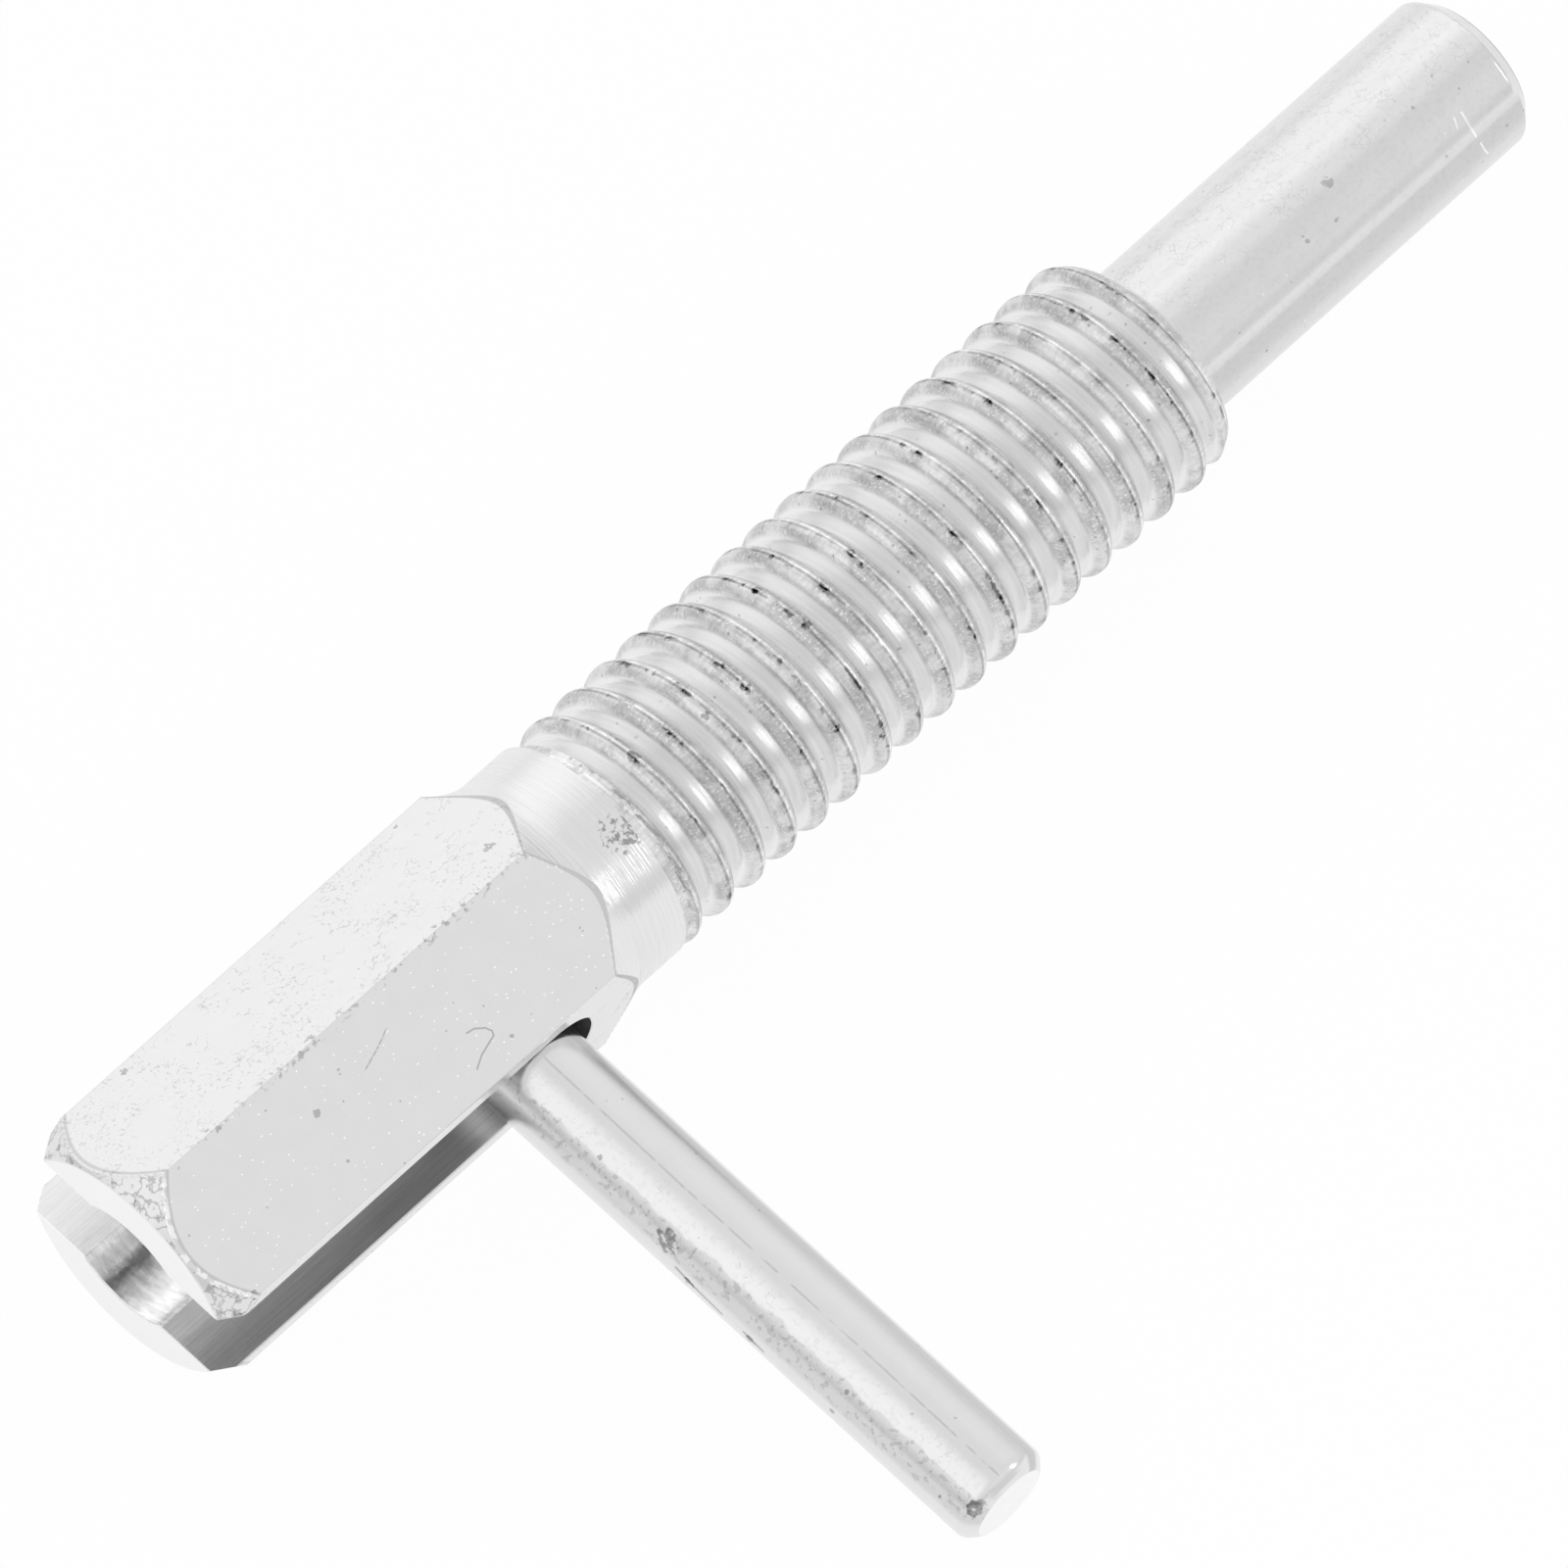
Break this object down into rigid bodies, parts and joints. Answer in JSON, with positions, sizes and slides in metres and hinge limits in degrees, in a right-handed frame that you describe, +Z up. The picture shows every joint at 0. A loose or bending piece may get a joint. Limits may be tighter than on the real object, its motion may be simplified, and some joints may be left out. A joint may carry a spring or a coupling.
{
  "type": "indexing plunger",
  "caption": "Indexing plunger: a spring-loaded locating pin in a threaded sleeve with a slotted hexagon head and a cross handle that pulls it back.",
  "frame": {"origin": "centre of the threaded sleeve's front face, on the plunger's axis", "axes": "+X along the plunger's axis towards the nose, +Z up; the handle lies along -Y, rolled 7.4 degrees down to the table"},
  "size_m": [0.0677, 0.0325, 0.011],
  "materials": {
    "zinc_plated_body": "bright zinc plate",
    "zinc_plated_pin": "bright zinc plate over a ground surface",
    "drawn_rod": "zinc plate over a drawn surface",
    "spring_wire": "bright wire"
  },
  "bodies": {
    "body": {"hex_body": "zinc_plated_body", "spring": "spring_wire"},
    "plunger": {"plunger_pin": "zinc_plated_pin", "handle_rod": "drawn_rod"}
  },
  "joints": [
    {"name": "plunger_pull", "type": "slide", "parent": "body", "child": "plunger", "axis": [-1, 0, 0], "range_m": [-0.0006, 0.0176], "stiffness_N_per_m": 950, "deforming": ["spring"]}
  ]
}
